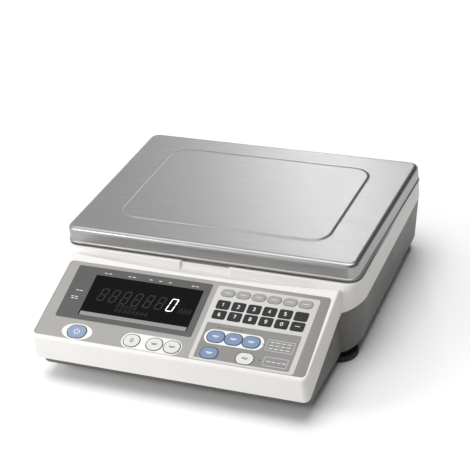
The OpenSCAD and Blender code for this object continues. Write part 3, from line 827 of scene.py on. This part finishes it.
def build_display():
    """Frame, tinted window, and the segments that show in it."""
    bezel = panel_rect("display_bezel", 0.3)
    window = panel_rect("display_window", 0.1)
    regions = [(box_outline(*bezel, 2.0), 0)]
    for x in (-93, -88.5, -68, -63.5, -46, -36, -26, -2.5, 1.5):
        regions.append((box_outline(x, x + 3.2, 79.6, 80.3, 0.3), 1))
    for x, u in ((-113.5, 55.5), (-109.5, 55.5), (-115.5, 48), (-111.5, 48), (-115, 45.8), (-111, 45.8)):
        regions.append((box_outline(x, x + 3.2, u, u + 0.7, 0.3), 1))
    regions.append((box_outline(*window, 1.0), None))
    obj = planar("bezel", regions, 0.3, 1.1, [BEZEL, WHITE])
    finish_piece(smooth(obj, 30), "display_frame", "housing", ["display_bezel"])

    x0, x1, u0, u1 = window
    regions = [(box_outline(x0, x1, u0, u1, 1.0), 0)]
    regions.append((box_outline(x0 + 1.2, x1 - 1.2, u0 + 0.4, u0 + 4.9, 0.3), 3))
    digit_u, digit_w, digit_l, pitch, digit_t = 48.0, 6.2, 14.2, 11.9, 1.15
    right = -16.2
    for k in range(7):
        which, thick = ("abcdef", digit_t * 0.8) if k == 0 else ("abcdefg", digit_t)
        for shape in segment_digit(right - k * pitch, digit_u, digit_w, digit_l, thick, which):
            regions.append((shape, 2 if k == 0 else 1))
    for row, count, start in ((43.2, 5, -66.0), (38.2, 8, -66.0)):
        for k in range(count):
            for shape in segment_digit(start + k * 4.4, row, 2.2, 3.4, 0.5, "abcdefg"):
                regions.append((shape, 1))
    for k in range(3):
        for shape in segment_digit(-4.5 + k * 4.6, 47.6, 2.6, 5.0, 0.6, "abcdefg"):
            regions.append((shape, 1))
    obj = planar("window", regions, 0.1, 2.1, [WINDOW, GHOST, LIT, STRIP])
    finish_piece(smooth(obj, 30), "display_window_tinted", "housing", ["display_window"])


# ---- keys ----

# Stroke widths of the printed digits and of the other signs
DIGIT_STROKE, SIGN_STROKE = 0.72, 0.7

# Outlines of the printed marks, as strokes in a box 0.6 wide and 1 high
STROKES = {
    "0": [[(.3, 0), (.08, .12), (0, .35), (0, .65), (.08, .88), (.3, 1), (.52, .88), (.6, .65), (.6, .35),
           (.52, .12), (.3, 0)]],
    "1": [[(.12, .78), (.34, 1), (.34, 0)]],
    "2": [[(.04, .78), (.12, .94), (.3, 1), (.5, .93), (.57, .75), (.5, .55), (.02, 0), (.6, 0)]],
    "3": [[(.05, .86), (.28, 1), (.5, .93), (.54, .75), (.46, .58), (.28, .53), (.5, .46), (.58, .28),
           (.5, .08), (.28, 0), (.03, .12)]],
    "4": [[(.44, 0), (.44, 1), (.02, .3), (.6, .3)]],
    "5": [[(.54, 1), (.12, 1), (.07, .55), (.3, .62), (.52, .52), (.58, .32), (.5, .1), (.28, 0), (.04, .1)]],
    "6": [[(.5, .92), (.3, 1), (.1, .85), (.02, .5), (.04, .22), (.14, .05), (.32, 0), (.52, .1), (.58, .3),
           (.5, .5), (.3, .58), (.1, .48), (.03, .32)]],
    "7": [[(.02, 1), (.58, 1), (.22, 0)]],
    "8": [[(.3, .54), (.1, .64), (.06, .8), (.14, .95), (.3, 1), (.46, .95), (.54, .8), (.5, .64), (.3, .54),
           (.08, .42), (0, .25), (.08, .06), (.3, 0), (.52, .06), (.6, .25), (.52, .42), (.3, .54)]],
    "9": [[(.1, .08), (.3, 0), (.5, .15), (.58, .5), (.56, .78), (.46, .95), (.28, 1), (.08, .9), (.02, .7),
           (.1, .5), (.3, .42), (.5, .52), (.57, .68)]],
    "point": [[(.3, 0), (.3, .06)]],
    "bars": [[(-.9, .72), (1.5, .72)], [(-.5, .3), (1.1, .3)]],
    "bar": [[(-.9, .5), (1.5, .5)]],
    "power": [[(.3 + .52 * math.sin(a), .5 + .52 * math.cos(a))
               for a in [math.radians(35 + 290 * i / 20) for i in range(21)]], [(.3, .6), (.3, 1.15)]],
}


def ribbon(points, width, h):
    """A flat stroke along points, with mitred corners."""
    left, right = [], []
    pts = [Vector(p) for p in points]
    for i, p in enumerate(pts):
        before = (p - pts[i - 1]).normalized() if i else (pts[1] - p).normalized()
        after = (pts[i + 1] - p).normalized() if i < len(pts) - 1 else before
        way = (before + after)
        way = way.normalized() if way.length > 0.2 else after
        half = width / 2 / max(0.6, way.dot(after))
        side = Vector((-way.y, way.x)) * half
        left.append(p + side)
        right.append(p - side)
    verts = [on_panel(v.x, v.y, h) for v in left + right]
    n = len(pts)
    return verts, [(i, n + i, n + i + 1, i + 1) for i in range(n - 1)]


def legend(shape, x, u, size, width, h):
    """A printed mark: strokes scaled to size, centred on (x, u)."""
    verts, faces = [], []
    for stroke in STROKES[shape]:
        v, f = ribbon([(x + (px - 0.3) * size, u + (pu - 0.5) * size) for px, pu in stroke], width, h)
        faces += [tuple(len(verts) + i for i in face) for face in f]
        verts += v
    return verts, faces


def key_look(node):
    """Material, record slot, printed mark, its size and its material."""
    if node.startswith("number_key"):
        return KEY_BLACK, "key_black", node[-1], 3.6, WHITE
    if node == "point_key":
        return KEY_BLACK, "key_black", "point", 3.6, WHITE
    if node == "clear_key":
        return KEY_BLACK, "key_black", "bar", 2.0, WHITE
    if node.startswith("function"):
        return KEY_GREY, "key_grey", "bar", 2.6, MARK
    if node.startswith("method") or node == "sample_key":
        return KEY_BLUE, "key_blue", "bars", 2.8, WHITE
    if node == "power_key":
        return KEY_PALE, "key_pale", "power", 5.0, WHITE
    if node == "zero_key":
        return KEY_WHITE, "key_white", "0", 4.0, LINE
    return KEY_WHITE, "key_white", "bars", 2.8, LINE


def build_key(node):
    """A cap with a rounded edge, slightly dished on top, its stem, and its printed mark."""
    material, slot_name, mark, size, ink = key_look(node)
    x, u, w, l = key_rect(node)
    r = key_radius(node)
    edge, dish = 0.35, 0.06
    steps = [(0.0, -2.0), (0.0, KEY_PROUD - edge)]
    steps += [(edge * (1 - math.cos(a)), KEY_PROUD - edge * (1 - math.sin(a)))
              for a in [math.radians(30 * k) for k in (1, 2, 3)]]
    steps += [(edge + 1.0, KEY_PROUD - dish * 0.6), (edge + 2.2, KEY_PROUD - dish)]
    rings = [[on_panel(px, pu, h) for px, pu in round_rect(x, u, w - 2 * i, l - 2 * i, max(0.3, r - i), 8)]
             for i, h in steps]
    cap = raw(node + "_cap", *loft(rings))
    stem = [[on_panel(px, pu, h) for px, pu in ellipse(x, u, 3.0, 3.0, 24)] for h in (-5.5, -2.0)]
    stem_part = raw(node + "_stem", *loft(stem))
    for part in (cap, stem_part):
        part.data.materials.append(material)
    parts = [cap, stem_part]
    verts, faces = legend(mark, x, u, size, DIGIT_STROKE if len(mark) == 1 else SIGN_STROKE,
                          KEY_PROUD - dish + 0.03)
    print_part = raw(node + "_mark", verts, faces)
    print_part.data.materials.append(ink)
    obj = join(node + "_moulded", parts + [print_part])
    up = Vector((0, -SIN, COS))
    for poly in obj.data.polygons:
        if obj.data.materials[poly.material_index] == ink and poly.normal.dot(up) < 0:
            poly.flip()
    smooth(obj, 50)
    finish_piece(obj, node + "_moulded", node, [node])


# ---- feet ----

def build_foot(corner):
    """Rubber-faced disc with finger flutes round its rim, on a threaded stud."""
    a, b = box_mm("foot_disc_" + corner)
    cx, cy = (a.x + b.x) / 2, (a.y + b.y) / 2
    r, h = (b.x - a.x) / 2, b.z
    stud = box_mm("foot_stud_" + corner)
    stud_r = (stud[1].x - stud[0].x) / 2
    count = 144
    profile = [(r - 4.5, 0.0), (r - 1.8, 0.0), (r - 0.9, 0.5), (r - 0.2, 1.6), (r, 2.8), (r - 0.1, 5.2),
               (r - 0.6, 5.9), (r - 1.6, 6.3), (r - 5.2, 6.8), (r - 6.2, 7.4), (r - 6.6, h - 0.4),
               (r - 7.1, h),
               (stud_r + 0.05, h), (stud_r + 0.05, 3.0)]
    rings = []
    for radius, z in profile:
        ring = []
        for i in range(count):
            t = 2 * math.pi * i / count
            flute = 0.55 * max(0.0, math.cos(24 * t)) if 1.5 < z < 6.0 and radius > r - 1.2 else 0.0
            q = radius - flute
            ring.append(Vector((cx + q * math.cos(t), cy + q * math.sin(t), z)))
        rings.append(ring)
    verts, faces = loft(rings)
    finish_piece(smooth(raw("disc", verts, faces), 40), "foot_disc_" + corner + "_rubber",
                 "foot_disc_" + corner, ["foot_disc_" + corner], [FOOT])
    low, high = stud[0].z, stud[1].z
    pitch, depth, around = 1.25, 0.45, 24
    turns = int((high - low) / pitch)
    rings = [[Vector((cx + (stud_r - 0.5) * math.cos(t), cy + (stud_r - 0.5) * math.sin(t), low))
              for t in (2 * math.pi * i / around for i in range(around))]]
    per_turn = 4
    for k in range(1, turns * per_turn):
        z = low + k * pitch / per_turn
        ring = []
        for i in range(around):
            t = 2 * math.pi * i / around
            phase = (k / per_turn - i / around) % 1.0
            q = stud_r - depth * abs(2 * phase - 1)
            ring.append(Vector((cx + q * math.cos(t), cy + q * math.sin(t), z)))
        rings.append(ring)
    rings.append([Vector((v.x, v.y, high)) for v in rings[0]])
    verts, faces = loft(rings)
    finish_piece(smooth(raw("stud", verts, faces), 30), "foot_stud_" + corner + "_threaded",
                 "foot_stud_" + corner, ["foot_stud_" + corner], [STUD])


# ---- bubble level ----

def build_level():
    low, high = box_mm("level_housing")
    at = ((low.x + high.x) / 2, (low.y + high.y) / 2)
    r = (high.x - low.x) / 2
    ring = [(r, low.z), (r, high.z - 0.5), (r - 0.15, high.z - 0.15), (r - 0.5, high.z), (r - 0.9, high.z),
            (r - 1.2, high.z - 0.3), (r - 1.22, low.z + 1.0), (1.0, low.z + 0.99)]
    finish_piece(smooth(raw("level_ring", *lathe(ring, at, 72)), 50), "level_ring", "housing",
                 ["level_housing"], [BLACK])
    vial_low, vial_high = box_mm("level_vial")
    vr = (vial_high.x - vial_low.x) / 2
    dome = [(vr, vial_low.z), (vr, vial_high.z - 0.7)]
    dome += [(vr * math.cos(a), vial_high.z - 0.7 + 0.7 * math.sin(a))
             for a in [math.radians(15 * k) for k in range(1, 6)]]
    vial = raw("level_vial_dome", *lathe(dome, at, 72))
    vial.data.materials.append(FLUID)
    circle = [(1.9, vial_high.z - 0.02), (2.15, vial_high.z - 0.05), (2.15, vial_high.z - 0.6),
              (1.9, vial_high.z - 0.6)]
    rings = [[Vector((at[0] + q * math.cos(t), at[1] + q * math.sin(t), z))
              for t in (2 * math.pi * i / 48 for i in range(48))] for q, z in circle]
    target = raw("level_circle", *loft(rings, ends=False, around=True))
    target.data.materials.append(BLACK)
    finish_piece(smooth(join("level_dome", [vial, target]), 50), "level_dome", "housing",
                 ["level_vial"])


# ---- materials on the CAD nodes that stay ----

KEPT = {
    "pan_support": CAST, "pan_cushions": CUSHION, "support_screws": SCREW, "load_cell": CELL,
    "cell_base_plate": CAST, "cell_screws": SCREW, "overload_stop": SCREW, "case_screws": SCREW,
    "display_module": TUBE, "display_board": BOARD, "key_guide_plate": BLACK, "key_board": BOARD,
    "tact_switches": BLACK, "main_board": BOARD, "internal_cables": CABLE, "dc_jack": BLACK,
    "option_cover": BASE,
}


def dress_kept_nodes():
    for name, material in KEPT.items():
        mesh = nodes[name].data
        mesh.materials.clear()
        mesh.materials.append(material)
        for poly in mesh.polygons:
            poly.material_index = 0


# ---- floor, light, camera ----

# Half the floor's side, in metres
FLOOR_HALF = 12.0
# Direction of the bright side of the sky, and the sky's strength away from it and towards it
SKY_TOWARDS = (-0.82, -0.15, 0.55)
SKY_DIM, SKY_BRIGHT = 0.10, 0.95
# Viewpoint: degrees, then metres, then the lens in mm
CAMERA_AZIMUTH, CAMERA_ELEVATION, CAMERA_ROLL = 24.72, 30.02, -5.32
CAMERA_TARGET = (-0.01892, 0.05241, 0.050)
CAMERA_DISTANCE = 1.58103
CAMERA_LENS = 119.06


def build_stage():
    half = FLOOR_HALF / MM
    floor = raw("floor", [(-half, -half, 0), (half, -half, 0), (half, half, 0), (-half, half, 0)],
                [(0, 1, 2, 3)])
    m = Maker("floor_paper", Roughness=0.9)
    m.set("Base Color", m.ramp(m.noise(3, 2), (0.93, 0.93, 0.93), (0.95, 0.95, 0.95)))
    floor.data.materials.append(m.material)
    world = bpy.data.worlds.new("studio")
    scene.world = world
    world.use_nodes = True
    back = world.node_tree.nodes["Background"]
    tree = world.node_tree
    where = tree.nodes.new("ShaderNodeTexCoord")
    along = tree.nodes.new("ShaderNodeVectorMath")
    along.operation = "DOT_PRODUCT"
    along.inputs[1].default_value = SKY_TOWARDS
    grade = tree.nodes.new("ShaderNodeMapRange")
    grade.interpolation_type = "SMOOTHSTEP"
    for key, value in (("From Min", -0.1), ("From Max", 0.9), ("To Min", SKY_DIM), ("To Max", SKY_BRIGHT)):
        grade.inputs[key].default_value = value
    tree.links.new(where.outputs["Generated"], along.inputs[0])
    tree.links.new(along.outputs["Value"], grade.inputs["Value"])
    tree.links.new(grade.outputs["Result"], back.inputs["Strength"])
    back.inputs["Color"].default_value = (1, 1, 1, 1)

    def area(name, place, target, size_x, size_y, power):
        data = bpy.data.lights.new(name, "AREA")
        data.shape, data.size, data.size_y, data.energy = "RECTANGLE", size_x, size_y, power
        lamp = bpy.data.objects.new(name, data)
        lamp.location = place
        lamp.rotation_euler = (Vector(target) - Vector(place)).to_track_quat("-Z", "Y").to_euler()
        scene.collection.objects.link(lamp)

    area("key", (-0.56, -0.66, 0.40), (-0.16, -0.1, 0.05), 0.3, 0.3, 2.9)
    area("rear", (-0.62, 2.0, 1.3), (0.05, 0.05, 0.1), 0.2, 0.9, 4.2)
    area("rear_left", (-1.45, 1.75, 0.22), (-0.05, 0.05, 0.1), 0.6, 0.2, 1.5)
    sun = bpy.data.lights.new("top", "SUN")
    sun.energy, sun.angle = 1.7, math.radians(45)
    top = bpy.data.objects.new("top", sun)
    top.rotation_euler = Vector((0.02, 0.05, -1)).to_track_quat("-Z", "Y").to_euler()
    scene.collection.objects.link(top)


def build_camera():
    """The photograph's viewpoint."""
    azimuth, elevation = math.radians(CAMERA_AZIMUTH), math.radians(CAMERA_ELEVATION)
    roll = math.radians(CAMERA_ROLL)
    target, distance = Vector(CAMERA_TARGET), CAMERA_DISTANCE
    back = Vector((math.sin(azimuth) * math.cos(elevation), -math.cos(azimuth) * math.cos(elevation),
                   math.sin(elevation)))
    right = Vector((math.cos(azimuth), math.sin(azimuth), 0))
    up = back.cross(right)
    right_rolled = right * math.cos(roll) + up * math.sin(roll)
    up_rolled = up * math.cos(roll) - right * math.sin(roll)
    data = bpy.data.cameras.new("camera")
    data.lens, data.sensor_width = CAMERA_LENS, 36.0
    data.clip_start, data.clip_end = 0.05, 30.0
    cam = bpy.data.objects.new("camera", data)
    cam.matrix_world = Matrix((
        (right_rolled.x, up_rolled.x, back.x, target.x + back.x * distance),
        (right_rolled.y, up_rolled.y, back.y, target.y + back.y * distance),
        (right_rolled.z, up_rolled.z, back.z, target.z + back.z * distance),
        (0, 0, 0, 1)))
    scene.collection.objects.link(cam)
    scene.camera = cam
    scene.view_settings.view_transform = "Standard"


build_camera()
build_stage()
build_pan()
build_cover()
build_base()
build_overlay()
build_display()
for key in key_nodes():
    build_key(key)
for corner in ("front_left", "front_right", "rear_left", "rear_right"):
    build_foot(corner)
build_level()
dress_kept_nodes()

bpy.context.view_layer.update()
